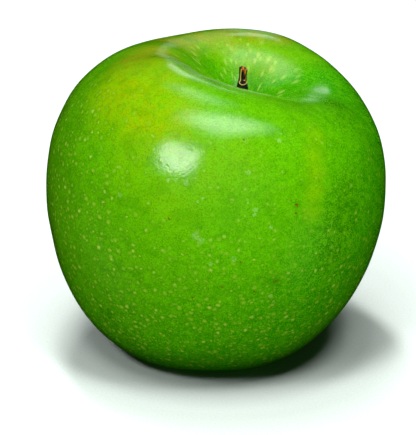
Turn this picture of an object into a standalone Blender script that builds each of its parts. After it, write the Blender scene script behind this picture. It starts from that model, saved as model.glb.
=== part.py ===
"""A whole green apple with its stem, resting on the lobes round its base.

Three solids: the body of skin and flesh, the woody stem set in the hollow at the top, and the dried
calyx in the basin underneath. Units are metres and +Z is up. The shown side faces -Y, the left
shoulder (-X) is the high one, and the origin is the middle of the apple's footprint, at z = 0.
"""

import math

import bmesh
import bpy
import numpy as np

# Driving sizes of the body. Each meridian runs from the hollow over the rim, round the widest
# ring and the base ring, and up into the basin. Every ring has its own centre, because the apple leans.
WIDEST_RADIUS = 0.0380
WIDEST_HEIGHT = 0.0372
WIDEST_CENTRE = (0.0003, -0.0004)
RIM_RADIUS = 0.0194
RIM_HEIGHT = 0.0667
RIM_CENTRE = (0.0044, -0.0011)
BASE_RADIUS = 0.0144
BASE_CENTRE = (-0.0016, -0.0008)
HOLLOW_CENTRE = (0.0058, -0.0011)
HOLLOW_HEIGHT = 0.0560
BASIN_HEIGHT = 0.0075

# Unevenness round the axis, each wave as (lobes, size, direction of a crest in degrees).
WIDEST_RADIUS_WAVES = ((2, 0.00020, 39), (3, 0.00055, -43))
RIM_RADIUS_WAVES = ((2, 0.00185, 75),)
RIM_HEIGHT_WAVES = ((1, 0.00520, 191), (2, 0.00163, 65), (3, 0.00071, -54))
BASE_RADIUS_WAVES = ((1, 0.00031, 0), (5, 0.00025, -18))
BASIN_RIBS = ((5, 0.00080, 18),)
# Dips in the rim, each as (depth, direction, half width in degrees): a saddle where the hollow runs out
# over the left shoulder, and the opposite, a low swelling, at the right.
RIM_DIPS = ((0.0017, 188, 22), (-0.0007, 335, 20))

# How full the curve is on each side of a ring, as a share of the way to the next ring.
RIM_INSIDE = 0.45
RIM_OUTSIDE = 0.49
WIDEST_ABOVE = 0.75
WIDEST_BELOW = 0.45
BASE_OUTSIDE = 0.53
BASE_INSIDE = 0.40
HOLLOW_FLOOR_REACH = 0.0015
BASIN_ROOF_REACH = 0.0020

# The base stands on five low lobes, whose lowest bits are pressed flat at z = 0.
LOBES = 5
LOBE_DEPTH = 0.0003
LOBE_FLAT_DEPTH = 0.00012
LOBE_DIRECTION = 18
TREAD_WIDTH = 0.0024

# Neighbouring solids keep this far apart.
GAP = 0.0003

# The stem, from its foot in a socket in the hollow's floor to its broken tip.
STEM_TOP_CENTRE = (0.0061, -0.0011)
STEM_TOP_HEIGHT = 0.0661
STEM_FOOT_RADIUS = 0.00142
STEM_NECK_RADIUS = 0.00082
STEM_TIP_RADIUS = 0.00092
STEM_FLARE_HEIGHT = 0.0610
STEM_NECK_HEIGHT = 0.0642
STEM_SLANT = 0.0004
# The break at the tip is split by a notch, whose half width is a share of the stem's radius.
# The slant and the notch fade down the stem with this power of the height.
STEM_NOTCH_DEPTH = 0.0005
STEM_NOTCH_DIRECTION = 300
STEM_NOTCH_HALF_WIDTH = 0.5
STEM_BREAK_FADE = 8
STEM_GROOVE_DEPTH = 0.00034
STEM_GROOVE_DIRECTION = 262
STEM_GROOVE_HALF_WIDTH = 24
SCAR_DIRECTION = 282
SCAR_HEIGHT = 0.0624
SCAR_RADIUS = 0.00062
SCAR_RIM = 0.00014
SOCKET_DEPTH = 0.0020

# The dried calyx: a short woody cup with five thin sepals curling down from it.
CUP_RADIUS = 0.0022
CUP_LENGTH = 0.0016
CUP_WALL = 0.0007
SEPALS = 5
SEPAL_LENGTH = 0.0048
SEPAL_WIDTH = 0.0026
SEPAL_THICKNESS = 0.00045
SEPAL_DROP = 0.0024
# How a sepal narrows, thins, bends its edges down and curls, from its root to its tip.
SEPAL_TAPER = 0.9
SEPAL_THINNING = 0.5
SEPAL_CUPPING = 0.25
SEPAL_CURL_POWER = 1.5
CALYX_SOCKET_DEPTH = 0.0006

# How finely the solids are divided.
BODY_MERIDIANS = 72
HOLLOW_STEPS = 11
SHOULDER_STEPS = 15
FLANK_STEPS = 16
BASIN_STEPS = 7
STEM_SIDES = 24
STEM_STEPS = 22
CUP_SIDES = 20
SEPAL_STEPS = 6

# Finishes: an 8-bit display colour and a roughness for each.
SKIN_GREEN = (96, 178, 10)
SKIN_ROUGHNESS = 0.3
STEM_BROWN = (104, 60, 26)
STEM_ROUGHNESS = 0.8
CALYX_BROWN = (74, 52, 30)
CALYX_ROUGHNESS = 0.9
DISPLAY_WHITE = 255
DISPLAY_GAMMA = 2.2


def clear_scene():
    for thing in list(bpy.data.objects):
        bpy.data.objects.remove(thing)


def linear(colour):
    """An 8-bit display colour as the linear RGBA a shader takes."""
    return tuple((channel / DISPLAY_WHITE) ** DISPLAY_GAMMA for channel in colour) + (1.0,)


def material(name, colour, roughness):
    made = bpy.data.materials.new(name)
    made.use_nodes = True
    shader = made.node_tree.nodes["Principled BSDF"]
    shader.inputs["Base Color"].default_value = linear(colour)
    shader.inputs["Roughness"].default_value = roughness
    shader.inputs["Metallic"].default_value = 0.0
    made.diffuse_color = linear(colour)
    return made


def add_object(name, mesh, finish):
    made = bpy.data.objects.new(name, mesh)
    bpy.context.scene.collection.objects.link(made)
    mesh.materials.append(finish)
    mesh.shade_smooth()
    return made


def capped_loft(name, rings, first_tip, last_tip):
    """A closed mesh through the rings, which all turn the same way, with a fan of faces at each end."""
    shape = bmesh.new()
    loops = [[shape.verts.new(point) for point in ring] for ring in rings]
    for near, far in zip(loops, loops[1:]):
        for i, vertex in enumerate(near):
            beside = (i + 1) % len(near)
            shape.faces.new((vertex, near[beside], far[beside], far[i]))
    for loop, tip in ((loops[0], first_tip), (loops[-1], last_tip)):
        centre = shape.verts.new(tip)
        for i, vertex in enumerate(loop):
            shape.faces.new((vertex, loop[(i + 1) % len(loop)], centre))
    bmesh.ops.recalc_face_normals(shape, faces=shape.faces)
    mesh = bpy.data.meshes.new(name)
    shape.to_mesh(mesh)
    shape.free()
    return mesh


def turns_apart(angle, direction):
    """Signed difference of an angle in radians from a direction in degrees, within half a turn."""
    return (angle - math.radians(direction) + math.pi) % (2 * math.pi) - math.pi


def waved(angle, mean, waves):
    value = np.full_like(angle, mean)
    for lobes, size, direction in waves:
        value += size * np.cos(lobes * (angle - math.radians(direction)))
    return value


def bump(distance, half_width):
    return np.exp(-((distance / half_width) ** 2))


def bezier(ends, steps):
    """Points along a cubic arc through four control rings, without the last one."""
    start, leave, arrive, end = (np.asarray(control)[None] for control in ends)
    t = (np.arange(steps) / steps)[:, None, None]
    return (
        (1 - t) ** 3 * start
        + 3 * t * (1 - t) ** 2 * leave
        + 3 * t**2 * (1 - t) * arrive
        + t**3 * end
    )


def body_rings(meridians):
    """The skin as rings of points, from the hollow's floor over the rim down to the basin's roof."""
    angle = np.linspace(0, 2 * math.pi, meridians, endpoint=False)
    outward = np.stack([np.cos(angle), np.sin(angle), 0 * angle], axis=1)
    up = np.array([0.0, 0.0, 1.0])

    def ring(centre, radius, height):
        middle = np.array([centre[0], centre[1], 0.0])
        return middle + outward * np.reshape(radius, (-1, 1)) + up * np.reshape(height, (-1, 1))

    rim_radius = waved(angle, RIM_RADIUS, RIM_RADIUS_WAVES)
    rim_height = waved(angle, RIM_HEIGHT, RIM_HEIGHT_WAVES)
    for depth, direction, half_width in RIM_DIPS:
        rim_height -= depth * bump(turns_apart(angle, direction), math.radians(half_width))
    widest_radius = waved(angle, WIDEST_RADIUS, WIDEST_RADIUS_WAVES)
    base_radius = waved(angle, BASE_RADIUS, BASE_RADIUS_WAVES)
    base_height = waved(
        angle, LOBE_DEPTH - LOBE_FLAT_DEPTH, ((LOBES, -LOBE_DEPTH, LOBE_DIRECTION),)
    )
    socket_radius = STEM_FOOT_RADIUS + GAP
    cup_radius = CUP_RADIUS + GAP
    floor = ring(HOLLOW_CENTRE, socket_radius, HOLLOW_HEIGHT)
    rim = ring(RIM_CENTRE, rim_radius, rim_height)
    widest = ring(WIDEST_CENTRE, widest_radius, WIDEST_HEIGHT)
    base_outside = ring(BASE_CENTRE, base_radius + TREAD_WIDTH / 2, base_height)
    inner_radius = waved(angle, BASE_RADIUS - TREAD_WIDTH / 2, BASIN_RIBS)
    base_inside = ring(BASE_CENTRE, inner_radius, base_height)
    roof = ring(BASE_CENTRE, cup_radius, BASIN_HEIGHT)

    across_shoulder = outward * (widest_radius - rim_radius)[:, None]
    down_shoulder = up * (rim_height - WIDEST_HEIGHT)[:, None]
    across_flank = outward * (widest_radius - base_radius - TREAD_WIDTH / 2)[:, None]
    down_flank = up * (WIDEST_HEIGHT - base_height)[:, None]
    hollow = bezier(
        (
            floor,
            floor + outward * HOLLOW_FLOOR_REACH,
            rim - outward * (RIM_INSIDE * rim_radius)[:, None],
            rim,
        ),
        HOLLOW_STEPS,
    )
    shoulder = bezier(
        (
            rim,
            rim + RIM_OUTSIDE * across_shoulder,
            widest + WIDEST_ABOVE * down_shoulder,
            widest,
        ),
        SHOULDER_STEPS,
    )
    flank = bezier(
        (
            widest,
            widest - WIDEST_BELOW * down_flank,
            base_outside + BASE_OUTSIDE * across_flank,
            base_outside,
        ),
        FLANK_STEPS,
    )
    basin = bezier(
        (
            base_inside,
            base_inside - outward * (BASE_INSIDE * inner_radius)[:, None],
            roof + outward * BASIN_ROOF_REACH,
            roof,
        ),
        BASIN_STEPS,
    )
    rings = np.concatenate([hollow, shoulder, flank, base_outside[None], basin, roof[None]])
    rings[..., 2] = np.maximum(rings[..., 2], 0.0)
    return rings


def make_body(finish):
    skin = body_rings(BODY_MERIDIANS)
    socket = skin[0] - np.array([0.0, 0.0, SOCKET_DEPTH])
    socket_floor = (*HOLLOW_CENTRE, HOLLOW_HEIGHT - SOCKET_DEPTH)
    calyx_socket = skin[-1] + np.array([0.0, 0.0, CALYX_SOCKET_DEPTH])
    calyx_roof = (*BASE_CENTRE, BASIN_HEIGHT + CALYX_SOCKET_DEPTH)
    rings = [socket, *skin, calyx_socket]
    return add_object("apple_body", capped_loft("apple_body", rings, socket_floor, calyx_roof), finish)


def smooth_step(value, low, high):
    t = np.clip((value - low) / (high - low), 0, 1)
    return t * t * (3 - 2 * t)


def stem_radius(angle, height):
    """Distance of the stem's bark from its axis: a flared foot, a groove up the front and a bud scar."""
    flare = 1 - smooth_step(height, STEM_FLARE_HEIGHT, STEM_NECK_HEIGHT)
    swell = smooth_step(height, STEM_NECK_HEIGHT, STEM_TOP_HEIGHT)
    radius = STEM_NECK_RADIUS + (STEM_FOOT_RADIUS - STEM_NECK_RADIUS) * flare
    radius += (STEM_TIP_RADIUS - STEM_NECK_RADIUS) * swell
    groove = bump(turns_apart(angle, STEM_GROOVE_DIRECTION), math.radians(STEM_GROOVE_HALF_WIDTH))
    grooved = smooth_step(height, SCAR_HEIGHT, SCAR_HEIGHT + 2 * SCAR_RADIUS)
    from_scar = np.hypot(turns_apart(angle, SCAR_DIRECTION) * radius, height - SCAR_HEIGHT)
    scar = bump(from_scar - SCAR_RADIUS, SCAR_RADIUS / 2)
    return radius - STEM_GROOVE_DEPTH * groove * grooved + SCAR_RIM * scar


def make_stem(finish):
    angle = np.linspace(0, 2 * math.pi, STEM_SIDES, endpoint=False)
    foot = np.array([*HOLLOW_CENTRE, HOLLOW_HEIGHT - SOCKET_DEPTH + GAP])
    tip = np.array([*STEM_TOP_CENTRE, STEM_TOP_HEIGHT])
    # The broken end is higher on the left and split in two.
    notch = bump(np.sin(angle - math.radians(STEM_NOTCH_DIRECTION)), STEM_NOTCH_HALF_WIDTH)
    uneven = -STEM_SLANT * np.cos(angle) - STEM_NOTCH_DEPTH * notch
    rings = []
    for share in np.linspace(0, 1, STEM_STEPS):
        axis = foot + (tip - foot) * share
        height = axis[2] + uneven * share**STEM_BREAK_FADE
        radius = stem_radius(angle, height)
        rings.append(
            np.stack([axis[0] + radius * np.cos(angle), axis[1] + radius * np.sin(angle), height], axis=1)
        )
    broken_end = tip - np.array([0.0, 0.0, STEM_NOTCH_DEPTH])
    return add_object("stem", capped_loft("stem", rings, foot, broken_end), finish)


def cup_mesh():
    """The calyx cup: a short tapered plug, open and dished at its lower end."""
    angle = np.linspace(0, 2 * math.pi, CUP_SIDES, endpoint=False)
    top = BASIN_HEIGHT + CALYX_SOCKET_DEPTH - GAP
    lip = top - CUP_LENGTH
    inner_radius = CUP_RADIUS - CUP_WALL
    outline = (
        (CUP_RADIUS, top),
        (CUP_RADIUS, lip),
        (inner_radius, lip),
        (inner_radius, lip + CUP_LENGTH / 2),
    )
    rings = [
        np.stack(
            [
                BASE_CENTRE[0] + radius * np.cos(angle),
                BASE_CENTRE[1] + radius * np.sin(angle),
                np.full_like(angle, height),
            ],
            axis=1,
        )
        for radius, height in outline
    ]
    return capped_loft("cup", rings, (*BASE_CENTRE, top), (*BASE_CENTRE, outline[-1][1]))


def sepal_mesh(direction):
    """One dried sepal: a thin pointed blade that leaves the cup's wall and curls down and outward."""
    outward = np.array([math.cos(direction), math.sin(direction), 0.0])
    sideways = np.array([-outward[1], outward[0], 0.0])
    up = np.array([0.0, 0.0, 1.0])
    start = np.array([*BASE_CENTRE, BASIN_HEIGHT - CUP_LENGTH / 2])
    rings = []
    for share in np.linspace(0, 1, SEPAL_STEPS):
        reach = CUP_RADIUS - CUP_WALL / 2 + (SEPAL_LENGTH - SEPAL_DROP) * math.sin(share * math.pi / 2)
        centre = start + outward * reach - up * SEPAL_DROP * share**SEPAL_CURL_POWER
        half_width = SEPAL_WIDTH / 2 * (1 - SEPAL_TAPER * share**2)
        half_thickness = SEPAL_THICKNESS / 2 * (1 - SEPAL_THINNING * share)
        cupped = SEPAL_CUPPING * half_width
        rings.append(
            [
                centre + sideways * half_width - up * cupped,
                centre + up * half_thickness,
                centre - sideways * half_width - up * cupped,
                centre - up * half_thickness - up * cupped,
            ]
        )
    return capped_loft("sepal", rings, rings[0][1] - up * half_thickness, rings[-1][3] - up * half_thickness)


def make_calyx(finish):
    """The cup and its sepals, joined into one solid."""
    cup = add_object("calyx", cup_mesh(), finish)
    blades = bpy.data.collections.new("sepals")
    for index in range(SEPALS):
        direction = math.radians(LOBE_DIRECTION) + 2 * math.pi * (index + 0.5) / SEPALS
        blades.objects.link(bpy.data.objects.new(f"sepal_{index}", sepal_mesh(direction)))
    union = cup.modifiers.new("sepals", "BOOLEAN")
    union.operation = "UNION"
    union.operand_type = "COLLECTION"
    union.collection = blades
    joined = bpy.data.meshes.new_from_object(cup.evaluated_get(bpy.context.evaluated_depsgraph_get()))
    cup.modifiers.clear()
    cup.data = joined
    for blade in list(blades.objects):
        bpy.data.objects.remove(blade)
    bpy.data.collections.remove(blades)
    return cup


def main():
    clear_scene()
    make_body(material("skin", SKIN_GREEN, SKIN_ROUGHNESS))
    make_stem(material("stem_wood", STEM_BROWN, STEM_ROUGHNESS))
    make_calyx(material("calyx_wood", CALYX_BROWN, CALYX_ROUGHNESS))


main()
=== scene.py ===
"""The looks of a whole green apple: waxy speckled skin, a split woody stem and a dried calyx."""

import math

import bpy
import numpy as np
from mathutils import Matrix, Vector
from mathutils.bvhtree import BVHTree


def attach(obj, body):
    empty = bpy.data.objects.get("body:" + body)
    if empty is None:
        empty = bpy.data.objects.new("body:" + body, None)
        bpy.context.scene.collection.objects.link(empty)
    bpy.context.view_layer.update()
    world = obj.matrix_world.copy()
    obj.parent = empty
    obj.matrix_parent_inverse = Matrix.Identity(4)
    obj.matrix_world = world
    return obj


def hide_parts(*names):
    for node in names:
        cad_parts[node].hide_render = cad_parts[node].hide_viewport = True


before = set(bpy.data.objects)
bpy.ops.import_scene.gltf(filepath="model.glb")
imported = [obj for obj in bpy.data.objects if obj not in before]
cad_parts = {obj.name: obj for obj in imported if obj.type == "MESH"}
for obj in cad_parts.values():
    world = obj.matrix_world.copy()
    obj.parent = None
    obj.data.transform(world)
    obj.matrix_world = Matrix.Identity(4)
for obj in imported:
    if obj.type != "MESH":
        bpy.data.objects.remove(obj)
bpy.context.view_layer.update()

# The body's driving sizes, in metres and degrees, as in the construction. A wave is (number round
# the ring, size, direction), and a dip of the rim is (depth, direction, half width).
WIDEST_RADIUS = 0.0380
WIDEST_HEIGHT = 0.0372
WIDEST_CENTRE = (0.0003, -0.0004)
RIM_RADIUS = 0.0194
RIM_HEIGHT = 0.0667
RIM_CENTRE = (0.0044, -0.0011)
BASE_RADIUS = 0.0144
BASE_CENTRE = (-0.0016, -0.0008)
HOLLOW_CENTRE = (0.0058, -0.0011)
HOLLOW_HEIGHT = 0.0560
BASIN_HEIGHT = 0.0075
WIDEST_RADIUS_WAVES = ((2, 0.00020, 39), (3, 0.00055, -43))
RIM_RADIUS_WAVES = ((2, 0.00185, 75),)
RIM_HEIGHT_WAVES = ((1, 0.00520, 191), (2, 0.00163, 65), (3, 0.00071, -54))
BASE_RADIUS_WAVES = ((1, 0.00031, 0), (5, 0.00025, -18))
BASIN_RIBS = ((5, 0.00080, 18),)
RIM_DIPS = ((0.0017, 188, 22), (-0.0007, 335, 20))
RIM_INSIDE = 0.45
RIM_OUTSIDE = 0.49
WIDEST_ABOVE = 0.75
WIDEST_BELOW = 0.45
BASE_OUTSIDE = 0.53
BASE_INSIDE = 0.40
HOLLOW_FLOOR_REACH = 0.0015
BASIN_ROOF_REACH = 0.0020
LOBES = 5
LOBE_DEPTH = 0.0003
LOBE_FLAT_DEPTH = 0.00012
LOBE_DIRECTION = 18
TREAD_WIDTH = 0.0024
GAP = 0.0003
SOCKET_DEPTH = 0.0020
CUP_RADIUS = 0.0022
CALYX_SOCKET_DEPTH = 0.0006

# How finely the skin is divided, and how uneven its shape is.
MERIDIANS = 400
HOLLOW_STEPS = 40
SHOULDER_STEPS = 60
FLANK_STEPS = 70
BASIN_STEPS = 24
LUMP_HEIGHT = 0.00007
LUMP_SIZES = (0.009, 0.022)
LUMP_WAVES = 28
LUMP_SEED = 5
LUMP_FADE_HEIGHT = (0.002, 0.008)
LUMP_FADE_HOLLOW = (0.002, 0.006)
STREAK_STRETCH = 0.5

# The stem, from its foot in the hollow's socket to its broken tip.
STEM_FOOT_RADIUS = 0.00142
STEM_NECK_RADIUS = 0.00082
STEM_TIP_RADIUS = 0.00092
STEM_FLARE_HEIGHT = 0.0600
STEM_NECK_HEIGHT = 0.0642
STEM_FOOT = (0.00556, -0.0011, HOLLOW_HEIGHT - SOCKET_DEPTH + GAP)
STEM_TIP = (0.00602, -0.0011, 0.0660)
STEM_BEND = 1.6
STEM_SLANT = 0.00025
STEM_BREAK_FADE = 8
STEM_SIDES = 144
STEM_STEPS = 200
# Waves of the broken edge, each as (size, number round the stem, start).
SPLINTER_WAVES = ((0.00005, 7, 1.0), (0.00004, 17, 0.0), (0.00003, 29, 2.0))
BARK_RIDGES = 13
BARK_RIDGE_HEIGHT = 0.00004
BARK_SWAY = 2.5
BARK_SWAY_RATE = 900
# The marks lie where the stem's side faces front, as a smooth step of the sine of that angle.
STEM_FRONT = (0.1, 0.4)
# Strips down the stem's front, as (place across, half width, lowest, highest).
GROOVE = (-0.00006, 0.00015, 0.0634, 0.0659)
GROOVE_FOOT = (0.00008, 0.00036, 0.0633, 0.0639)
# The pale strip down the left is a painted highlight.
HIGHLIGHT_STRIP = (-0.00050, 0.00009, 0.0629, 0.0661)
ORANGE_STRIP = (0.00043, 0.00021, 0.0643, 0.0663)
THIN_STRIP = (0.00068, 0.00009, 0.0628, 0.0646)
THIN_STRIP_STRENGTH = 0.6
RED_STRIP = (0.00043, 0.00024, 0.0639, 0.0650)
STRIP_FADE = 0.0003
GROOVE_DEPTH = 0.00034
# The scar of a bud: the lower half of a raised oval, with a small pit inside it and a painted highlight
# spot above the pit. The oval's pale line is partly its own pale rim, partly a painted highlight.
SCAR_CENTRE = (0.00012, 0.0630)
SCAR_HALF_WIDTH = 0.00082
SCAR_DEPTH = 0.00062
SCAR_LINE = 0.000085
SCAR_RIM = 0.00014
PIT = (0.00028, 0.06288)
PIT_RADIUS = 0.00014
HIGHLIGHT_SPOT = (0.00036, 0.06335)
HIGHLIGHT_SPOT_RADIUS = 0.00013
# The pit in the broken end, as (share of the rim's size, drop) of each ring from its middle outwards.
BREAK_STEPS = ((0.15, 0.0004), (0.45, 0.0005), (0.72, 0.0003), (0.90, 0.0001))
BREAK_STRIPE = 0.00082
BREAK_STRIPE_START = -0.00046
BREAK_EDGE = (-0.0006, -0.0004)
BREAK_LEAST_BARK = 0.05
BREAK_FRONT = (0.00004, 0.00050, 0.0652, 0.0670)
BREAK_FRONT_STRENGTH = 0.8
# How far the bark is worn off where the wood shows, and how far it comes back in the pit and the groove.
BARK_WORN = 1.15
BARK_IN_PIT = 1.2
BARK_IN_GROOVE = 0.9

# Colours of the stem, as 8-bit display colours.
WOOD = (246, 156, 34)
DARK_WOOD = (176, 92, 20)
RED_WOOD = (130, 44, 12)
# Painted highlight colour, used for the stem's pale marks.
HIGHLIGHT_CREAM = (255, 228, 130)
# The bark's near-black is partly its own dark colour and partly painted shade, as on the stem's foot deep
# in the hollow.
BARK_AND_SHADE = (7, 5, 4)
BARK_FLECK = (88, 70, 48)

# The stem's surface. A step is (low, high), or (low, high, value at low, value at high).
BARK_SIZE = 0.00025
BARK_FLECK_STEP = (0.58, 0.75)
BARK_ROUGHNESS = (0.3, 0.7, 0.5, 0.85)
BARK_DEPTH = 0.00004
FIBRE_SIZE = 0.00012
FIBRE_STRETCH = (1.0, 1.0, 0.15)
FIBRE_STEP = (0.35, 0.65)
FIBRE_DEPTH = 0.00002

# The calyx: a short cup with five dried blades and a tuft of threads.
CUP_LENGTH = 0.0016
CUP_WALL = 0.0007
CUP_SIDES = 80
CUP_RIBS = 10
CUP_RIB_HEIGHT = 0.00012
SEPALS = 5
SEPAL_LENGTH = 0.0048
SEPAL_DROP = 0.0024
SEPAL_WIDTH = 0.0026
SEPAL_THICKNESS = 0.00036
SEPAL_STEPS = 28
SEPAL_SIDES = 24
SEPAL_CUPPING = 0.35
SEPAL_RIPPLE = 0.00016
SEPAL_RIPPLES = 9
SEPAL_CURL = 1.5
SEPAL_TAPER = 0.9
SEPAL_THINNING = 0.5
SEPAL_WAVE = 0.10
SEPAL_WAVES = 11
THREADS = 14
THREAD_RADIUS = 0.00011
THREAD_LENGTH = 0.0026
THREAD_STEPS = 10
THREAD_SIDES = 8
THREAD_START = 0.0005
THREAD_LEAN = 0.0011
THREAD_SHORTEST = 0.5
THREAD_TAPER = 0.5
THREAD_JITTER = 0.3
CALYX_SEED = 11

# Colours of the calyx, as 8-bit display colours.
HUSK = (96, 70, 42)
HUSK_DARK = (44, 30, 20)
HUSK_PALE = (150, 128, 92)

# The calyx's surface, with steps in the same form as the stem's.
HUSK_PATCH_SIZE = 0.0011
HUSK_PATCH_STEP = (0.35, 0.65)
HUSK_PATCH_DEPTH = 0.00010
FUZZ_SIZE = 0.00022
FUZZ_STEP = (0.55, 0.75, 0, 0.7)
FUZZ_ROUGHNESS = (0.3, 0.7, 0.75, 0.95)
FUZZ_DEPTH = 0.00004

# The photograph's frame and camera.
PHOTO_WIDTH = 416
PHOTO_HEIGHT = 435
CAMERA_ELEVATION = 23.41
CAMERA_DISTANCE = 0.600
CAMERA_TARGET = Vector((-0.00178, -0.00079, 0.02992))
CAMERA_LENS = 219.9
SENSOR_SIZE = 36.0
CLIP_START = 0.01

MM = 0.001

# Marks on the shown side, each as (pixel across, pixel down, radius in mm).
SCUFFS = (
    (195.5, 236.0, 1.25),
    (200.5, 241.0, 1.10),
    (233.8, 259.0, 0.85),
    (255.4, 210.0, 0.75),
    (255.0, 214.5, 0.60),
    (271.2, 227.0, 0.55),
    (203.0, 198.0, 0.45),
    (198.0, 202.0, 0.45),
    (186.0, 183.0, 0.80),
    (248.0, 202.5, 0.40),
    (211.0, 264.0, 0.60),
    (270.8, 295.8, 0.70),
    (248.8, 172.7, 0.70),
    (279.0, 140.7, 0.65),
    (120.0, 195.0, 0.75),
)
BROWN_DOTS = (
    (169, 218.7, 0.34),
    (187, 255, 0.26),
    (243.6, 140.1, 0.30),
    (215, 150, 0.28),
    (240.7, 262.7, 0.34),
    (221.8, 287, 0.34),
    (254.5, 291.7, 0.36),
    (192.8, 297.9, 0.32),
    (209.6, 306, 0.30),
    (273.5, 282, 0.34),
    (276, 281, 0.34),
    (278, 280, 0.26),
    (296.4, 205, 0.42),
    (296, 213, 0.30),
    (296.6, 199.5, 0.22),
    (297.5, 207, 0.30),
    (330.8, 134.9, 0.25),
    (338.8, 143.4, 0.25),
    (64, 209, 0.28),
    (92, 173, 0.26),
    (104, 204, 0.26),
)

# Colours of the skin, as 8-bit display colours.
GREEN = (99, 184, 6)
# Painted shade: the darker green of the side away from the light.
SHADED_SIDE_GREEN = (34, 158, 3)
YELLOW_GREEN = (176, 190, 2)
WARM_GREEN = (138, 198, 8)
# Painted shade, for the darker patches below.
PAINTED_SHADE_GREEN = (36, 116, 2)
# Painted shade at the base, near the floor.
BASE_SHADE_GREEN = (20, 82, 1)
BLUSH = (184, 158, 30)
PALE_MOTTLE = (112, 208, 18)
DARK_MOTTLE = (56, 146, 2)
PORE = (160, 216, 50)
PORE_CORE = (208, 238, 112)
PORE_HEART = (128, 110, 30)
STREAK = (190, 226, 92)
SCUFF = (142, 204, 84)
BROWN = (108, 74, 18)

# Broad patches of the shown side, each made of marks in the same form.
LEFT_SHOULDER = (
    (114, 92, 14),
    (140, 88, 17),
    (145, 116, 14),
    (165, 120, 12),
    (124, 70, 11),
    (150, 64, 11),
)
# Painted light: a yellow glow where light falls on the hollow's back wall.
GLOW_ON_HOLLOW_WALL = ((250, 56, 9), (232, 50, 8), (268, 62, 7))
LEFT_CHEEK = ((132, 170, 11), (165, 190, 13), (200, 162, 14), (232, 150, 11))
BACK_RIM = ((262, 50, 10), (285, 56, 9), (305, 52, 9), (232, 52, 8))
RIGHT_STRIPE = ((314, 136, 4.5), (315, 154, 4.5), (315, 172, 4.5), (314, 194, 4.5), (312, 212, 4))
# Painted shade: the hollow's shaded edge, the dark flanks, the foot by the floor, and the shaded right
# shoulder and cheek.
HOLLOW_EDGE_SHADE = ((168, 56, 4), (182, 64, 5), (198, 73, 5), (212, 81, 4))
FLANK_SHADE = ((62, 150, 11), (68, 178, 10), (80, 124, 9), (102, 240, 10), (322, 284, 9))
LEFT_FOOT_SHADE = ((126, 336, 7), (110, 318, 6))
RIGHT_SHOULDER_SHADE = ((333, 103, 6), (342, 120, 6))
RIGHT_CHEEK_SHADE = ((346, 195, 7), (343, 214, 10), (338, 232, 10), (333, 250, 8))
BACK_EDGE = (
    (136, 57, 8),
    (152, 50, 10),
    (176, 41, 10),
    (202, 36, 9),
    (228, 33, 9),
    (255, 34, 7),
    (278, 38, 6),
)
# The patches as they are laid over each other, each as (colour, strength, marks).
PATCHES = (
    (YELLOW_GREEN, 0.9, LEFT_SHOULDER),
    # Painted glow on the hollow's back wall.
    (YELLOW_GREEN, 0.6, GLOW_ON_HOLLOW_WALL),
    (WARM_GREEN, 0.6, LEFT_CHEEK),
    (WARM_GREEN, 0.7, BACK_RIM),
    (WARM_GREEN, 1.0, RIGHT_STRIPE),
    # Painted shade, from here to the blush.
    (PAINTED_SHADE_GREEN, 0.5, HOLLOW_EDGE_SHADE),
    (PAINTED_SHADE_GREEN, 0.3, FLANK_SHADE),
    (PAINTED_SHADE_GREEN, 0.8, LEFT_FOOT_SHADE),
    (PAINTED_SHADE_GREEN, 0.4, RIGHT_SHOULDER_SHADE),
    (PAINTED_SHADE_GREEN, 1.0, RIGHT_CHEEK_SHADE),
    (BLUSH, 0.9, BACK_EDGE),
)
# Where the wax is worn dull, as marks.
DULL_SPOTS = ((188, 44, 6), (200, 41, 6), (212, 39, 6))
# A mark is full out to this share of its radius.
MARK_CORE = 0.45

# The skin's ground colour, with steps in the same form as the stem's.
# Painted light and shade: the ground colour is lighter green towards this direction, where the light
# comes from, and darker green away from it.
PAINTED_LIGHT_DIRECTION = (-0.45, -0.60, 0.66)
PAINTED_LIGHT_STEP = (0.020, 0.056)
WANDER_SIZE = 0.012
WANDER_STEP = (0.30, 0.60, 0.75, 1.0)
MOTTLE_SIZE = 0.0003
PALE_MOTTLE_STEP = (0.48, 0.64, 0, 0.65)
DARK_MOTTLE_STEP = (0.50, 0.35)
DARK_MOTTLE_BY_HEIGHT = (0.030, 0.006, 0.50, 0.9)
CLOUD_SIZE = 0.0014
CLOUD_STEP = (0.45, 0.65, 0, 0.30)
BLOTCH_SIZE = 0.0035
BLOTCH_STEP = (0.45, 0.70, 0, 0.28)
STRIPE_SIZE = 0.0012
STRIPE_STEP = (0.45, 0.75, 0, 0.25)
# Painted shade, growing towards the base where the apple sits on the floor.
BASE_SHADE_BY_HEIGHT = (0.014, 0.002, 0, 0.85)

# The round pores. Each edge is a step by the distance from the pore's middle in pore radii.
PORE_SPACING = 0.0015
PORE_RADII = (0.00044, 0.00080)
PORE_SHARE_BY_HEIGHT = (0.058, 0.012, 0.40, 1.0)
PORE_SHARE_ON_LEFT = (-0.010, -0.032, 0.0, 0.5)
PORE_RIM_FADE = (0.002, 0.012)
PORE_PLAIN_BY_SHARE = (0.4, 1.1, 0.40, 1.0)
PORE_PLAIN_ACROSS = (0.014, -0.016, 0.80, 1.0)
PORE_EDGE = (1.05, 0.1)
PORE_STRENGTH = 0.85
PORE_RING_EDGE = (1.6, 1.0)
PORE_RING_STRENGTH = 0.40
PORE_CORE_EDGE = (0.55, 0.10)
PORE_CORE_SHARE = 0.30
PORE_CORE_STRENGTH = 0.55
PORE_HEART_EDGE = (0.55, 0.1)
PORE_HEART_SHARE = 0.14
PORE_HEART_STRENGTH = 0.6

# The long pores in the hollow.
STREAK_SPACING = 0.0019
STREAK_SHORTENING = (1.0, 1.0, 1.3)
STREAK_RADII = (0.0006, 0.0010)
STREAK_EDGE = (1.1, 0.0)
STREAK_SHARE = 0.9
STREAK_RIM_FADE = (0.0, -0.006)
STREAK_STRENGTH = 0.6

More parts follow.
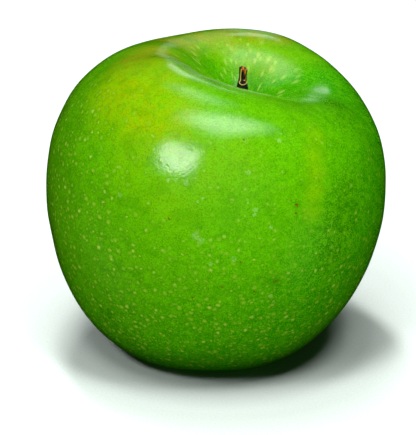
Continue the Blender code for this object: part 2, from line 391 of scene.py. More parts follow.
# The fine specks between the pores.
SPECK_SPACING = 0.0009
SPECK_EDGE = (0.00032, 0.00002)
SPECK_CHANCE = (0.0, 0.5)
SPECK_BY_HEIGHT = (0.045, 0.008, 0.15, 0.70)
SPECK_RIM_FADE = (0.0, 0.008)

# The waxy surface.
RAGGED_SIZE = 0.0007
RAGGED_REACH = 0.0008
GRAIN_SIZE = 0.0004
GRAIN_DEPTH = 0.00002
SCUFF_GRAIN_STEP = (0.35, 0.6)
SCUFF_STRENGTH = 0.75
SCUFF_ROUGHNESS = 0.2
BROWN_STRENGTH = 0.85
DULL_ROUGHNESS = 0.3
WAX_SIZE = 0.004
WAX_ROUGHNESS = (0.3, 0.7, 0.13, 0.19)
WAX_IOR = 1.45
SWELL_SIZE = 0.0045
SWELL_DEPTH = 0.00004
PORE_DEPTH = 0.00002

# The floor, a hair below the apple.
FLOOR_CLEARANCE = 0.00005
FLOOR_REACH = 2
FLOOR = (172, 179, 175)
FLOOR_GRAIN = (163, 172, 167)
FLOOR_GRAIN_SIZE = 0.0005
FLOOR_GRAIN_STEP = (0.35, 0.65)
FLOOR_ROUGHNESS = 0.9

# The studio, with each light as (name, direction, distance, watts, shape, width, height).
AIM = Vector((0, 0, 0.04))
OVERHEAD = (0.146, -0.4625, 0.8746)
ZENITH = (0.04, 0.20, 0.98)
KEY = (-0.447, -0.838, 0.316)
# These show as highlights in the wax.
HIGHLIGHTS = (
    ("overhead", OVERHEAD, 0.80, 0.9, "ELLIPSE", 0.52, 0.24),
    ("overhead_soft", OVERHEAD, 0.82, 2.2, "ELLIPSE", 0.76, 0.38),
    ("overhead_halo", OVERHEAD, 0.84, 2.7, "ELLIPSE", 1.02, 0.54),
    ("zenith", ZENITH, 0.80, 0.28, "DISK", 0.24, 0.24),
    ("zenith_halo", ZENITH, 0.82, 0.55, "DISK", 0.48, 0.48),
    ("key", KEY, 1.0, 2.2, "ELLIPSE", 0.28, 0.25),
    ("key_halo", KEY, 1.02, 0.4, "ELLIPSE", 0.38, 0.32),
    ("back", (0.11, 0.857, 0.50), 0.9, 0.20, "ELLIPSE", 0.15, 0.27),
    ("back_low", (0.07, 0.98, 0.12), 0.9, 0.038, "ELLIPSE", 0.14, 0.40),
)
# These light the apple softly and make no highlight.
FILLS = (
    ("fill_front", (0.0, -0.95, 0.30), 1.0, 3.3, "DISK", 1.2, 1.2),
    ("low_left", (-0.85, -0.15, -0.55), 1.0, 1.3, "DISK", 0.6, 0.6),
    ("low_right", (0.80, -0.45, -0.48), 1.0, 2.0, "DISK", 0.6, 0.6),
    ("fill_back", (0.0, 0.90, 0.50), 1.0, 3.0, "DISK", 1.0, 1.0),
)
# These light only the floor, and make the apple's shadow on it.
FLOOR_LIGHTS = (
    ("floor_strip", (-0.11, 0.27, 1.0), 1.5, 25.0, "RECTANGLE", 0.15, 0.70),
    ("floor_near", (0.0, -0.14, 1.0), 1.5, 14.0, "RECTANGLE", 0.36, 0.30),
    ("floor_left", (-0.22, -0.38, 1.0), 1.5, 13.0, "RECTANGLE", 0.26, 0.42),
    ("floor_right", (0.27, -0.37, 1.0), 1.5, 15.5, "RECTANGLE", 0.30, 0.40),
    ("floor_side", (-0.65, -0.70, 1.0), 1.5, 14.0, "RECTANGLE", 0.7, 0.25),
)
WORLD_STRENGTH = 0.02


def turns_apart(angle, direction):
    """Signed difference of an angle in radians from a direction in degrees, within half a turn."""
    return (angle - math.radians(direction) + math.pi) % (2 * math.pi) - math.pi


def waved(angle, mean, waves):
    """A value at each angle: its mean and waves, each as (number round the ring, size, direction)."""
    value = np.full_like(angle, mean)
    for lobes, size, direction in waves:
        value += size * np.cos(lobes * (angle - math.radians(direction)))
    return value


def bump(distance, half_width):
    """1 at no distance, fading smoothly to 0 on both sides."""
    return np.exp(-((distance / half_width) ** 2))


def smooth_step(value, low, high):
    t = np.clip((value - low) / (high - low), 0, 1)
    return t * t * (3 - 2 * t)


def bezier(ends, steps):
    """Points along a cubic arc through four control rings, without the last one."""
    start, leave, arrive, end = (np.asarray(control)[None] for control in ends)
    t = (np.arange(steps) / steps)[:, None, None]
    return (
        (1 - t) ** 3 * start
        + 3 * t * (1 - t) ** 2 * leave
        + 3 * t**2 * (1 - t) * arrive
        + t**3 * end
    )


def lumps(points):
    """A smooth random field of about unit size, made of plane waves."""
    draw = np.random.default_rng(LUMP_SEED)
    total = np.zeros(points.shape[:-1])
    for _ in range(LUMP_WAVES):
        direction = draw.normal(size=3)
        direction /= np.linalg.norm(direction)
        length = draw.uniform(*LUMP_SIZES)
        total += np.sin(points @ direction * (2 * math.pi / length) + draw.uniform(0, 2 * math.pi))
    return total / math.sqrt(LUMP_WAVES / 2)


def body_rings(angle):
    """The skin as rings of points, from the hollow's floor over the rim down to the basin's roof."""
    outward = np.stack([np.cos(angle), np.sin(angle), 0 * angle], axis=1)
    up = np.array([0.0, 0.0, 1.0])

    def ring(centre, radius, height):
        middle = np.array([centre[0], centre[1], 0.0])
        return middle + outward * np.reshape(radius, (-1, 1)) + up * np.reshape(height, (-1, 1))

    rim_radius = waved(angle, RIM_RADIUS, RIM_RADIUS_WAVES)
    rim_height = waved(angle, RIM_HEIGHT, RIM_HEIGHT_WAVES)
    for depth, direction, half_width in RIM_DIPS:
        rim_height -= depth * bump(turns_apart(angle, direction), math.radians(half_width))
    widest_radius = waved(angle, WIDEST_RADIUS, WIDEST_RADIUS_WAVES)
    base_radius = waved(angle, BASE_RADIUS, BASE_RADIUS_WAVES)
    base_height = waved(
        angle, LOBE_DEPTH - LOBE_FLAT_DEPTH, ((LOBES, -LOBE_DEPTH, LOBE_DIRECTION),)
    )
    floor = ring(HOLLOW_CENTRE, STEM_FOOT_RADIUS + GAP, HOLLOW_HEIGHT)
    rim = ring(RIM_CENTRE, rim_radius, rim_height)
    widest = ring(WIDEST_CENTRE, widest_radius, WIDEST_HEIGHT)
    base_outside = ring(BASE_CENTRE, base_radius + TREAD_WIDTH / 2, base_height)
    inner_radius = waved(angle, BASE_RADIUS - TREAD_WIDTH / 2, BASIN_RIBS)
    base_inside = ring(BASE_CENTRE, inner_radius, base_height)
    roof = ring(BASE_CENTRE, CUP_RADIUS + GAP, BASIN_HEIGHT)

    across_shoulder = outward * (widest_radius - rim_radius)[:, None]
    down_shoulder = up * (rim_height - WIDEST_HEIGHT)[:, None]
    across_flank = outward * (widest_radius - base_radius - TREAD_WIDTH / 2)[:, None]
    down_flank = up * (WIDEST_HEIGHT - base_height)[:, None]
    hollow = bezier(
        (
            floor,
            floor + outward * HOLLOW_FLOOR_REACH,
            rim - outward * (RIM_INSIDE * rim_radius)[:, None],
            rim,
        ),
        HOLLOW_STEPS,
    )
    shoulder = bezier(
        (
            rim,
            rim + RIM_OUTSIDE * across_shoulder,
            widest + WIDEST_ABOVE * down_shoulder,
            widest,
        ),
        SHOULDER_STEPS,
    )
    flank = bezier(
        (
            widest,
            widest - WIDEST_BELOW * down_flank,
            base_outside + BASE_OUTSIDE * across_flank,
            base_outside,
        ),
        FLANK_STEPS,
    )
    basin = bezier(
        (
            base_inside,
            base_inside - outward * (BASE_INSIDE * inner_radius)[:, None],
            roof + outward * BASIN_ROOF_REACH,
            roof,
        ),
        BASIN_STEPS,
    )
    rings = np.concatenate([hollow, shoulder, flank, base_outside[None], basin, roof[None]])
    rings[..., 2] = np.maximum(rings[..., 2], 0.0)
    return rings


def ring_normals(rings):
    """Outward unit normals of a grid of points, closed round the rings."""
    along = np.gradient(rings, axis=0)
    around = np.roll(rings, -1, axis=1) - np.roll(rings, 1, axis=1)
    normal = np.cross(along, around)
    return normal / np.maximum(np.linalg.norm(normal, axis=-1, keepdims=True), 1e-12)


def loft(rings, first_tip, last_tip):
    """Points and faces of a closed shell through rings, which is closed by a fan at each end."""
    rings = np.asarray(rings)
    count, sides = rings.shape[:2]
    points = np.concatenate([rings.reshape(-1, 3), [first_tip, last_tip]])
    index = np.arange(count * sides).reshape(count, sides)
    beside = np.roll(index, -1, axis=1)
    quads = np.stack([index[:-1], index[1:], beside[1:], beside[:-1]], axis=-1).reshape(-1, 4)
    first = np.stack([np.full(sides, count * sides), index[0], beside[0]], axis=-1)
    last = np.stack([np.full(sides, count * sides + 1), beside[-1], index[-1]], axis=-1)
    return points, quads.tolist() + first.tolist() + last.tolist()


def make_mesh(name, shells):
    """One smooth mesh from shells of points and faces."""
    points = np.concatenate([shell[0] for shell in shells])
    faces = []
    start = 0
    for shell_points, shell_faces in shells:
        faces += [[start + corner for corner in face] for face in shell_faces]
        start += len(shell_points)
    mesh = bpy.data.meshes.new(name)
    mesh.from_pydata(points.tolist(), [], faces)
    mesh.shade_smooth()
    return mesh


def add_values(mesh, name, values):
    """Stores one number or one vector for each point, for the material to read."""
    values = np.asarray(values, np.float32)
    kind, field = ("FLOAT", "value") if values.ndim == 1 else ("FLOAT_VECTOR", "vector")
    mesh.attributes.new(name, kind, "POINT").data.foreach_set(field, values.ravel())


def add_piece(name, mesh, finish, node):
    """Shows this mesh in place of a node of the frame."""
    piece = bpy.data.objects.new(name, mesh)
    bpy.context.scene.collection.objects.link(piece)
    mesh.materials.append(finish)
    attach(piece, "root")
    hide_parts(node)


class Graph:
    """Short names for putting together one material's nodes."""

    def __init__(self, name):
        self.material = bpy.data.materials.new(name)
        self.material.use_nodes = True
        self.tree = self.material.node_tree
        self.shader = self.tree.nodes["Principled BSDF"]

    def put(self, socket, value):
        """Links a socket to another node's output, or sets its number or colour."""
        if isinstance(value, bpy.types.NodeSocket):
            self.tree.links.new(value, socket)
        else:
            socket.default_value = value

    def add(self, kind, inputs, **settings):
        made = self.tree.nodes.new(kind)
        for key, value in settings.items():
            setattr(made, key, value)
        for key, value in inputs.items():
            self.put(made.inputs[key], value)
        return made

    def calc(self, operation, first, second):
        return self.add("ShaderNodeMath", {0: first, 1: second}, operation=operation).outputs[0]

    def product(self, first, *factors):
        for factor in factors:
            first = self.calc("MULTIPLY", first, factor)
        return first

    def shift(self, operation, first, second):
        """Vector maths."""
        made = self.add("ShaderNodeVectorMath", {0: first, 1: second}, operation=operation)
        return made.outputs["Value" if operation in ("DISTANCE", "DOT_PRODUCT") else "Vector"]

    def step(self, value, low, high, bottom=0.0, top=1.0):
        """A smooth change from bottom to top as value goes from low to high."""
        made = self.add(
            "ShaderNodeMapRange",
            {"Value": value, "From Min": low, "From Max": high, "To Min": bottom, "To Max": top},
            interpolation_type="SMOOTHSTEP",
        )
        return made.outputs["Result"]

    def mix(self, share, first, second, blend="MIX"):
        made = self.add(
            "ShaderNodeMix",
            {0: share, 6: rgba(first), 7: rgba(second)},
            data_type="RGBA",
            blend_type=blend,
        )
        return made.outputs[2]

    def noise(self, place, size, detail=2.0, rough=0.5):
        made = self.add(
            "ShaderNodeTexNoise",
            {"Vector": place, "Scale": 1 / size, "Detail": detail, "Roughness": rough},
        )
        return made.outputs[0]

    def cells(self, place, size):
        """Distance from the nearest of many scattered points, in metres, and two random numbers of it."""
        made = self.add("ShaderNodeTexVoronoi", {"Vector": place, "Scale": 1 / size})
        chance = self.add("ShaderNodeSeparateColor", {"Color": made.outputs["Color"]})
        distance = self.calc("MULTIPLY", made.outputs["Distance"], size)
        return distance, chance.outputs[0], chance.outputs[1]

    def value(self, name, output="Fac"):
        return self.add("ShaderNodeAttribute", {}, attribute_name=name).outputs[output]

    def object_place(self):
        return self.add("ShaderNodeTexCoord", {}).outputs["Object"]

    def relief(self, height, depth, under=None):
        """Bump of this height field, laid over another bump."""
        inputs = {"Height": height, "Distance": depth, "Strength": 1.0}
        if under is not None:
            inputs["Normal"] = under
        return self.add("ShaderNodeBump", inputs).outputs["Normal"]


def linear(colour):
    """An 8-bit display colour as linear RGBA."""
    return tuple((channel / 255) ** 2.2 for channel in colour) + (1.0,)


def rgba(colour):
    return linear(colour) if isinstance(colour, tuple) else colour


def camera_axes():
    """The camera's place and its right, up and forward directions."""
    elevation = math.radians(CAMERA_ELEVATION)
    forward = Vector((0, math.cos(elevation), -math.sin(elevation)))
    up = Vector((0, math.sin(elevation), math.cos(elevation)))
    return CAMERA_TARGET - forward * CAMERA_DISTANCE, Vector((1, 0, 0)), up, forward


def make_camera():
    data = bpy.data.cameras.new("camera")
    data.sensor_width = SENSOR_SIZE
    data.lens = CAMERA_LENS
    data.clip_start = CLIP_START
    camera = bpy.data.objects.new("camera", data)
    camera.location = camera_axes()[0]
    camera.rotation_euler = (math.pi / 2 - math.radians(CAMERA_ELEVATION), 0, 0)
    bpy.context.scene.collection.objects.link(camera)
    bpy.context.scene.camera = camera


def skin_under(tree, across, down):
    """The point of the skin that the photograph shows at a pixel."""
    place, right, up, forward = camera_axes()
    focal = CAMERA_LENS / SENSOR_SIZE * PHOTO_HEIGHT
    ray = right * (across - PHOTO_WIDTH / 2) + up * (PHOTO_HEIGHT / 2 - down) + forward * focal
    hit = tree.ray_cast(place, ray.normalized())[0]
    return tuple(hit)


def marks(graph, place, tree, spots, core=MARK_CORE):
    """Where the marks are, from 0 to 1. Each is full out to core times its radius."""
    total = None
    for across, down, radius in spots:
        centre = skin_under(tree, across, down)
        distance = graph.shift("DISTANCE", place, centre)
        one = graph.step(distance, radius * MM, core * radius * MM)
        total = one if total is None else graph.calc("MAXIMUM", total, one)
    return total


def skin_colour(graph, place, streak_place, height, tree):
    """The ground colour: painted light and shade, lighter towards the light and darker green away from
    it; patched on the shown side, with painted glow and painted shade in some patches; finely mottled.
    """
    # Painted light and shade: lighter on the side towards the light, darker away from it.
    lit = graph.shift("DOT_PRODUCT", place, PAINTED_LIGHT_DIRECTION)
    colour = graph.mix(graph.step(lit, *PAINTED_LIGHT_STEP), SHADED_SIDE_GREEN, GREEN)
    uneven = graph.step(graph.noise(place, WANDER_SIZE, detail=3.0), *WANDER_STEP)
    for tint, strength, spots in PATCHES:
        patch = graph.product(marks(graph, place, tree, spots, core=0.0), uneven, strength)
        colour = graph.mix(patch, colour, tint)

    mottle = graph.noise(place, MOTTLE_SIZE, detail=1.0)
    colour = graph.mix(graph.step(mottle, *PALE_MOTTLE_STEP), colour, PALE_MOTTLE)
    dark = graph.product(
        graph.step(mottle, *DARK_MOTTLE_STEP), graph.step(height, *DARK_MOTTLE_BY_HEIGHT)
    )
    colour = graph.mix(dark, colour, DARK_MOTTLE)
    cloud = graph.noise(place, CLOUD_SIZE)
    colour = graph.mix(graph.step(cloud, *CLOUD_STEP), colour, PALE_MOTTLE)
    blotch = graph.noise(place, BLOTCH_SIZE, detail=3.0)
    colour = graph.mix(graph.step(blotch, *BLOTCH_STEP), colour, DARK_MOTTLE)
    stripe = graph.noise(streak_place, STRIPE_SIZE)
    return graph.mix(graph.step(stripe, *STRIPE_STEP), colour, PALE_MOTTLE)


def add_pores(graph, colour, place, from_rim, height):
    """Pale round pores, denser towards the base. Gives the new colour and where the pores are."""
    distance, chance, second = graph.cells(place, PORE_SPACING)
    across = graph.add("ShaderNodeSeparateXYZ", {"Vector": place}).outputs["X"]
    share = graph.step(height, *PORE_SHARE_BY_HEIGHT)
    share = graph.calc("ADD", share, graph.step(across, *PORE_SHARE_ON_LEFT))
    kept = graph.calc("LESS_THAN", chance, share)
    outside = graph.product(kept, graph.step(from_rim, *PORE_RIM_FADE))
    reach = graph.calc("DIVIDE", distance, graph.step(second, 0.0, 1.0, *PORE_RADII))
    plain = graph.product(
        graph.step(share, *PORE_PLAIN_BY_SHARE), graph.step(across, *PORE_PLAIN_ACROSS)
    )
    shown = graph.product(outside, plain)

    ring = graph.product(graph.step(reach, *PORE_RING_EDGE), shown, PORE_RING_STRENGTH)
    colour = graph.mix(ring, colour, DARK_MOTTLE)
    pore = graph.product(graph.step(reach, *PORE_EDGE), outside)
    colour = graph.mix(graph.product(pore, plain, PORE_STRENGTH), colour, PORE)
    bright = graph.calc("LESS_THAN", chance, PORE_CORE_SHARE)
    bright = graph.product(shown, bright, graph.step(reach, *PORE_CORE_EDGE), PORE_CORE_STRENGTH)
    colour = graph.mix(bright, colour, PORE_CORE)
    browned = graph.calc("LESS_THAN", second, PORE_HEART_SHARE)
    heart = graph.product(outside, browned, graph.step(reach, *PORE_HEART_EDGE), PORE_HEART_STRENGTH)
    return graph.mix(heart, colour, PORE_HEART), pore


def add_streaks(graph, colour, streak_place, from_rim):
    """Pale pores in the hollow, long along the meridians."""
    place = graph.shift("MULTIPLY", streak_place, STREAK_SHORTENING)
    distance, chance, second = graph.cells(place, STREAK_SPACING)
    reach = graph.calc("DIVIDE", distance, graph.step(second, 0.0, 1.0, *STREAK_RADII))
    streak = graph.product(
        graph.step(reach, *STREAK_EDGE),
        graph.calc("LESS_THAN", chance, STREAK_SHARE),
        graph.step(from_rim, *STREAK_RIM_FADE),
        STREAK_STRENGTH,
    )
    return graph.mix(streak, colour, STREAK)


def add_specks(graph, colour, place, from_rim, height):
    """Fine pale specks between the pores, denser towards the base."""
    distance, chance, _ = graph.cells(place, SPECK_SPACING)
    speck = graph.product(
        graph.step(distance, *SPECK_EDGE),
        graph.step(chance, *SPECK_CHANCE),
        graph.step(height, *SPECK_BY_HEIGHT),
        graph.step(from_rim, *SPECK_RIM_FADE),
    )
    return graph.mix(speck, colour, PORE)


def make_skin_material(tree):
    graph = Graph("waxy_skin")
    place = graph.object_place()
    streak_place = graph.value("streak_place", "Vector")
    from_rim = graph.value("from_rim")
    height = graph.add("ShaderNodeSeparateXYZ", {"Vector": place}).outputs["Z"]
    stir = graph.add("ShaderNodeTexNoise", {"Vector": place, "Scale": 1 / RAGGED_SIZE}).outputs["Color"]
    stir = graph.shift("SUBTRACT", stir, (0.5, 0.5, 0.5))
    stir = graph.shift("MULTIPLY", stir, (RAGGED_REACH, RAGGED_REACH, RAGGED_REACH))
    ragged_place = graph.shift("ADD", place, stir)

    colour = skin_colour(graph, place, streak_place, height, tree)
    colour, pore = add_pores(graph, colour, ragged_place, from_rim, height)
    colour = add_streaks(graph, colour, streak_place, from_rim)
    colour = add_specks(graph, colour, ragged_place, from_rim, height)
    scuff = marks(graph, ragged_place, tree, SCUFFS)
    grain = graph.noise(place, GRAIN_SIZE)
    pale = graph.product(scuff, graph.step(grain, *SCUFF_GRAIN_STEP), SCUFF_STRENGTH)
    colour = graph.mix(pale, colour, SCUFF)
    dot = marks(graph, ragged_place, tree, BROWN_DOTS)
    colour = graph.mix(graph.product(dot, BROWN_STRENGTH), colour, BROWN)
    # Painted shade, darkening the skin towards the base.
    colour = graph.mix(graph.step(height, *BASE_SHADE_BY_HEIGHT), colour, BASE_SHADE_GREEN)
    graph.put(graph.shader.inputs["Base Color"], colour)

    rough = graph.step(graph.noise(place, WAX_SIZE, detail=3.0), *WAX_ROUGHNESS)
    rough = graph.calc("ADD", rough, graph.product(scuff, SCUFF_ROUGHNESS))
    dull = marks(graph, place, tree, DULL_SPOTS)
    rough = graph.calc("ADD", rough, graph.product(dull, DULL_ROUGHNESS))
    graph.put(graph.shader.inputs["Roughness"], rough)
    graph.shader.inputs["IOR"].default_value = WAX_IOR

    normal = graph.relief(graph.noise(place, SWELL_SIZE, detail=1.0), SWELL_DEPTH)
    normal = graph.relief(grain, GRAIN_DEPTH, normal)
    normal = graph.relief(graph.calc("SUBTRACT", pore, dot), PORE_DEPTH, normal)
    graph.put(graph.shader.inputs["Normal"], normal)
    return graph.material


def make_body():
    angle = np.linspace(0, 2 * math.pi, MERIDIANS, endpoint=False)
    skin = body_rings(angle)
    # Lumps fade out where the skin meets the stem, and near the floor.
    from_stem = np.linalg.norm(skin[..., :2] - np.array(HOLLOW_CENTRE), axis=-1)
    free = smooth_step(skin[..., 2], *LUMP_FADE_HEIGHT) * smooth_step(from_stem, *LUMP_FADE_HOLLOW)
    skin = skin + ring_normals(skin) * (LUMP_HEIGHT * free * lumps(skin))[..., None]
    outward = np.stack([np.cos(angle), np.sin(angle), 0 * angle], axis=1)
    first_tip = np.array([*HOLLOW_CENTRE, HOLLOW_HEIGHT - SOCKET_DEPTH])
    last_tip = np.array([*BASE_CENTRE, BASIN_HEIGHT + CALYX_SOCKET_DEPTH])
    lip = np.array([*HOLLOW_CENTRE, HOLLOW_HEIGHT - GAP]) + outward * STEM_FOOT_RADIUS
    inside = first_tip + outward * (STEM_FOOT_RADIUS - GAP)
    roof = last_tip + outward * CUP_RADIUS
    rings = np.concatenate([inside[None], lip[None], skin, roof[None]])
    mesh = make_mesh("apple_skin", [loft(rings, first_tip, last_tip)])

    steps = np.linalg.norm(np.diff(rings, axis=0), axis=-1)
    reach = np.concatenate([np.zeros((1, MERIDIANS)), np.cumsum(steps, axis=0)])
    # The rim comes after the two rings of the stem's socket and those of the hollow.
    from_rim = reach - reach[2 + HOLLOW_STEPS]
    ends = [from_rim[0].mean(), from_rim[-1].mean()]
    add_values(mesh, "from_rim", np.append(from_rim.ravel(), ends))
    # Long pores: their width follows the angle and their length is drawn out along the meridian.
    streak = np.stack(
        [
            np.broadcast_to(RIM_RADIUS * np.cos(angle), from_rim.shape),
            np.broadcast_to(RIM_RADIUS * np.sin(angle), from_rim.shape),
            from_rim * STREAK_STRETCH,
        ],
        axis=-1,
    )
    streak_ends = [[0, 0, STREAK_STRETCH * end] for end in ends]
    add_values(mesh, "streak_place", np.concatenate([streak.reshape(-1, 3), streak_ends]))
    tree = BVHTree.FromPolygons([v.co for v in mesh.vertices], [p.vertices for p in mesh.polygons])
    add_piece("apple_skin", mesh, make_skin_material(tree), "apple_body")


def make_stem_material():
    graph = Graph("split_stem")
    place = graph.object_place()
    bark = graph.noise(place, BARK_SIZE, detail=3.0, rough=0.6)
    fibre = graph.noise(graph.shift("MULTIPLY", place, FIBRE_STRETCH), FIBRE_SIZE)
    colour = graph.mix(graph.step(fibre, *FIBRE_STEP), WOOD, DARK_WOOD)
    colour = graph.mix(graph.value("red"), colour, RED_WOOD)
    # Painted highlights in cream, with the scar's own pale rim.
    colour = graph.mix(graph.value("pale"), colour, HIGHLIGHT_CREAM)
    # Near-black bark, partly painted shade.
    flecked = graph.mix(graph.step(bark, *BARK_FLECK_STEP), BARK_AND_SHADE, BARK_FLECK)
    colour = graph.mix(graph.value("bark"), colour, flecked)
    graph.put(graph.shader.inputs["Base Color"], colour)
    graph.put(graph.shader.inputs["Roughness"], graph.step(bark, *BARK_ROUGHNESS))
    normal = graph.relief(bark, BARK_DEPTH)
    graph.put(graph.shader.inputs["Normal"], graph.relief(fibre, FIBRE_DEPTH, normal))
    return graph.material


def strip(across, height, front, where):
    """Where a strip runs down the stem's front, from 0 to 1."""
    middle, half_width, lowest, highest = where
    ends = smooth_step(height, lowest, lowest + STRIP_FADE)
    ends = ends * smooth_step(height, highest, highest - STRIP_FADE)
    return bump(across - middle, half_width) * ends * front


def stem_marks(across, height, front):
    """The groove, the scar's raised line, the pit and the painted highlight spot above it, each from 0 to
    1.
    """
    groove = np.maximum(strip(across, height, front, GROOVE), strip(across, height, front, GROOVE_FOOT))
    scar_across = (across - SCAR_CENTRE[0]) / SCAR_HALF_WIDTH
    from_scar = np.hypot(scar_across, (height - SCAR_CENTRE[1]) / SCAR_DEPTH)
    line = bump((from_scar - 1) * SCAR_DEPTH, SCAR_LINE) * front
    line = line * smooth_step(height, SCAR_CENTRE[1] + STRIP_FADE, SCAR_CENTRE[1])
    from_pit = np.hypot(across - PIT[0], height - PIT[1])
    pit = bump(from_pit, PIT_RADIUS) * front
    highlight_spot = bump(np.hypot(across - HIGHLIGHT_SPOT[0], height - HIGHLIGHT_SPOT[1]), HIGHLIGHT_SPOT_RADIUS) * front
    return groove, line, pit, highlight_spot


def make_stem():
    angle = np.linspace(0, 2 * math.pi, STEM_SIDES, endpoint=False)[None]
    foot = np.array(STEM_FOOT)
    tip = np.array(STEM_TIP)
    share = np.linspace(1, 0, STEM_STEPS)[:, None]
    axis = foot + (tip - foot) * np.stack([share**STEM_BEND, share, share], axis=-1)
    # The broken end is lower on the right, and finely splintered.
    uneven = -STEM_SLANT * (np.cos(angle) + np.cos(angle) ** 2)
    for size, lobes, start in SPLINTER_WAVES:
        uneven = uneven + size * np.sin(lobes * angle + start)
    height = axis[..., 2] + uneven * share**STEM_BREAK_FADE
    flare = 1 - smooth_step(height, STEM_FLARE_HEIGHT, STEM_NECK_HEIGHT)
    swell = smooth_step(height, STEM_NECK_HEIGHT, STEM_TIP[2])
    smooth_radius = (
        STEM_NECK_RADIUS
        + (STEM_FOOT_RADIUS - STEM_NECK_RADIUS) * flare
        + (STEM_TIP_RADIUS - STEM_NECK_RADIUS) * swell
    )
    across = smooth_radius * np.cos(angle)
    front = smooth_step(-np.sin(angle), *STEM_FRONT) + 0 * height
    groove, line, pit, highlight_spot = stem_marks(across, height, front)
    sway = BARK_SWAY * np.sin(height * BARK_SWAY_RATE)
    ridges = BARK_RIDGE_HEIGHT * np.sin(BARK_RIDGES * angle + sway) * (1 - line)
    radius = smooth_radius - GROOVE_DEPTH * groove + SCAR_RIM * (line - pit) + ridges
    around = np.stack([np.cos(angle) + 0 * radius, np.sin(angle) + 0 * radius], axis=-1)
    rings = np.concatenate([axis[..., :2] + around * radius[..., None], height[..., None]], axis=-1)

    # Inside the broken end the surface steps down into a ragged pit.
    centre = rings[0].mean(axis=0)
    caps = [centre + (rings[0] - centre) * reach - (0, 0, drop) for reach, drop in BREAK_STEPS]
    caps = np.stack(caps)
    mesh = make_mesh("apple_stem", [loft(np.concatenate([caps, rings]), caps[0].mean(axis=0), foot)])

    # Cream painted highlights: the strip down the left, the spot above the pit, and the scar's line,
    # which is partly its own pale rim.
    pale = np.maximum(strip(across, height, front, HIGHLIGHT_STRIP), line)
    pale = np.clip(np.maximum(pale, highlight_spot), 0, 1)
    red = strip(across, height, front, RED_STRIP)
    bare = np.maximum(pale, strip(across, height, front, ORANGE_STRIP))
    bare = np.maximum(bare, THIN_STRIP_STRENGTH * strip(across, height, front, THIN_STRIP))
    bare = np.maximum(bare, BREAK_FRONT_STRENGTH * strip(across, height, front, BREAK_FRONT))
    bark = np.clip(1 - BARK_WORN * bare + BARK_IN_PIT * pit + BARK_IN_GROOVE * groove, 0, 1)
    end_across = caps[..., 0] - centre[0]
    stripes = np.cos((end_across - BREAK_STRIPE_START) * (2 * math.pi / BREAK_STRIPE))
    stripes = np.maximum(stripes, 1 - 2 * smooth_step(end_across, *BREAK_EDGE))
    end_bark = np.clip(0.5 + 0.5 * stripes, BREAK_LEAST_BARK, 1).ravel()
    none = np.zeros(STEM_SIDES * len(caps))
    for name, values, end in (("bark", bark, end_bark), ("pale", pale, none), ("red", red, none)):
        add_values(mesh, name, np.concatenate([end, values.ravel(), [end[0], values[-1, 0]]]))
    add_piece("apple_stem", mesh, make_stem_material(), "stem")


def cup_shell():
    """The calyx cup: a ribbed plug, open and dished at its lower end."""
    angle = np.linspace(0, 2 * math.pi, CUP_SIDES, endpoint=False)
    top = BASIN_HEIGHT + CALYX_SOCKET_DEPTH - GAP
    lip = top - CUP_LENGTH
    inner_radius = CUP_RADIUS - CUP_WALL
    outline = (
        (CUP_RADIUS, top, 0.0),
        (CUP_RADIUS, top - CUP_LENGTH / 2, 1.0),
        (CUP_RADIUS - CUP_RIB_HEIGHT, lip, 1.0),
        (inner_radius + CUP_WALL / 2, lip - CUP_RIB_HEIGHT, 1.0),
        (inner_radius, lip, 1.0),
        (inner_radius, lip + CUP_LENGTH / 2, 0.5),
    )
    rings = []
    for radius, height, ribbed in outline:
        wavy = radius - CUP_RIB_HEIGHT * ribbed * (0.5 + 0.5 * np.cos(CUP_RIBS * angle))
        across = BASE_CENTRE[0] + wavy * np.cos(angle)
        back = BASE_CENTRE[1] + wavy * np.sin(angle)
        rings.append(np.stack([across, back, np.full_like(angle, height)], axis=1))
    return loft(rings, (*BASE_CENTRE, top), (*BASE_CENTRE, outline[-1][1]))


def sepal_shell(direction, phase):
    """One dried blade: thin, pointed, rippled along its edges, curling down and outward."""
    outward = np.array([math.cos(direction), math.sin(direction), 0.0])
    sideways = np.array([-outward[1], outward[0], 0.0])
    up = np.array([0.0, 0.0, 1.0])
    start = np.array([*BASE_CENTRE, BASIN_HEIGHT - CUP_LENGTH / 2])
    turn = np.linspace(0, 2 * math.pi, SEPAL_SIDES, endpoint=False)[:, None]
    side = np.cos(turn)
    rings = []
    for share in np.linspace(0, 1, SEPAL_STEPS):
        reach = CUP_RADIUS - CUP_WALL / 2 + (SEPAL_LENGTH - SEPAL_DROP) * math.sin(share * math.pi / 2)
        centre = start + outward * reach - up * SEPAL_DROP * share**SEPAL_CURL
        wave = 1 + SEPAL_WAVE * math.sin(SEPAL_WAVES * share + phase)
        half_width = SEPAL_WIDTH / 2 * (1 - SEPAL_TAPER * share**2) * wave
        half_thickness = SEPAL_THICKNESS / 2 * (1 - SEPAL_THINNING * share)
        lift = SEPAL_RIPPLE * share * side * np.sin(SEPAL_RIPPLES * share + 2 * side + phase)
        lift = lift - SEPAL_CUPPING * half_width * side**2 + half_thickness * np.sin(turn)
        rings.append(centre + sideways * (half_width * side) + up * lift)
    return loft(rings, rings[0].mean(axis=0), rings[-1].mean(axis=0))


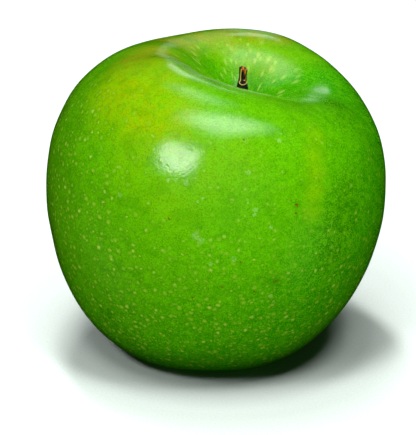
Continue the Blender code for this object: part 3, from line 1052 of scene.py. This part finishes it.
def thread_shell(direction, lean, length):
    """One dried thread that hangs from the cup and bends outward."""
    outward = np.array([math.cos(direction), math.sin(direction), 0.0])
    sideways = np.array([-outward[1], outward[0], 0.0])
    up = np.array([0.0, 0.0, 1.0])
    start = np.array([*BASE_CENTRE, BASIN_HEIGHT + CALYX_SOCKET_DEPTH - GAP - CUP_LENGTH / 2])
    turn = np.linspace(0, 2 * math.pi, THREAD_SIDES, endpoint=False)[:, None]
    rings = []
    for share in np.linspace(0, 1, THREAD_STEPS):
        centre = start + outward * (THREAD_START + lean * share**2) - up * length * share
        radius = THREAD_RADIUS * (1 - THREAD_TAPER * share)
        rings.append(centre + radius * (np.cos(turn) * sideways + np.sin(turn) * outward))
    return loft(rings, rings[0].mean(axis=0), rings[-1].mean(axis=0))


def make_calyx_material():
    graph = Graph("dried_calyx")
    place = graph.object_place()
    patch = graph.noise(place, HUSK_PATCH_SIZE, detail=3.0)
    fuzz = graph.noise(place, FUZZ_SIZE, detail=3.0, rough=0.65)
    colour = graph.mix(graph.step(patch, *HUSK_PATCH_STEP), HUSK, HUSK_DARK)
    colour = graph.mix(graph.step(fuzz, *FUZZ_STEP), colour, HUSK_PALE)
    graph.put(graph.shader.inputs["Base Color"], colour)
    graph.put(graph.shader.inputs["Roughness"], graph.step(fuzz, *FUZZ_ROUGHNESS))
    normal = graph.relief(patch, HUSK_PATCH_DEPTH)
    graph.put(graph.shader.inputs["Normal"], graph.relief(fuzz, FUZZ_DEPTH, normal))
    return graph.material


def make_calyx():
    draw = np.random.default_rng(CALYX_SEED)
    shells = [cup_shell()]
    for index in range(SEPALS):
        direction = math.radians(LOBE_DIRECTION) + 2 * math.pi * (index + 0.5) / SEPALS
        shells.append(sepal_shell(direction, draw.uniform(0, 2 * math.pi)))
    for index in range(THREADS):
        direction = 2 * math.pi * (index + draw.uniform(-THREAD_JITTER, THREAD_JITTER)) / THREADS
        lean = draw.uniform(0, THREAD_LEAN)
        length = THREAD_LENGTH * draw.uniform(THREAD_SHORTEST, 1.0)
        shells.append(thread_shell(direction, lean, length))
    mesh = make_mesh("apple_calyx", shells)
    add_piece("apple_calyx", mesh, make_calyx_material(), "calyx")


def make_floor():
    """A pale plane. The wax does not mirror it and it throws no light back on the apple."""
    corners = [(-1, -1), (1, -1), (1, 1), (-1, 1)]
    mesh = bpy.data.meshes.new("floor")
    mesh.from_pydata([(FLOOR_REACH * x, FLOOR_REACH * y, 0) for x, y in corners], [], [(0, 1, 2, 3)])
    floor = bpy.data.objects.new("floor", mesh)
    floor.location.z = -FLOOR_CLEARANCE
    bpy.context.scene.collection.objects.link(floor)
    graph = Graph("pale_floor")
    grain = graph.noise(graph.object_place(), FLOOR_GRAIN_SIZE, detail=3.0, rough=0.7)
    colour = graph.mix(graph.step(grain, *FLOOR_GRAIN_STEP), FLOOR, FLOOR_GRAIN)
    graph.put(graph.shader.inputs["Base Color"], colour)
    graph.shader.inputs["Roughness"].default_value = FLOOR_ROUGHNESS
    mesh.materials.append(graph.material)
    floor.visible_glossy = False
    floor.visible_diffuse = False
    floor.visible_shadow = False
    return floor


def add_light(name, direction, distance, watts, shape, width, height, lit, seen):
    """A soft studio light aimed at the apple, which lights only the pieces in lit."""
    data = bpy.data.lights.new(name, "AREA")
    data.shape = shape
    data.size = width
    data.size_y = height
    data.energy = watts
    light = bpy.data.objects.new(name, data)
    away = Vector(direction).normalized()
    light.location = AIM + away * distance
    light.rotation_euler = (-away).to_track_quat("-Z", "Y").to_euler()
    light.light_linking.receiver_collection = lit
    light.visible_glossy = seen
    bpy.context.scene.collection.objects.link(light)


def lit_together(name, pieces):
    """A collection that a light can be told to light alone."""
    made = bpy.data.collections.new(name)
    for piece in pieces:
        made.objects.link(piece)
    return made


def make_lights(floor):
    names = ("apple_skin", "apple_stem", "apple_calyx")
    apple = lit_together("apple_pieces", [bpy.data.objects[name] for name in names])
    ground = lit_together("ground", [floor])
    for light in HIGHLIGHTS:
        add_light(*light, lit=apple, seen=True)
    for light in FILLS:
        add_light(*light, lit=apple, seen=False)
    for light in FLOOR_LIGHTS:
        add_light(*light, lit=ground, seen=False)


def make_world():
    """A faint even light from all round, which the wax does not mirror."""
    world = bpy.data.worlds.new("studio")
    bpy.context.scene.world = world
    world.use_nodes = True
    background = world.node_tree.nodes["Background"]
    background.inputs[0].default_value = (1, 1, 1, 1)
    background.inputs[1].default_value = WORLD_STRENGTH
    world.cycles_visibility.glossy = False


make_camera()
make_body()
make_stem()
make_calyx()
make_lights(make_floor())
make_world()
bpy.context.scene.view_settings.view_transform = "Standard"
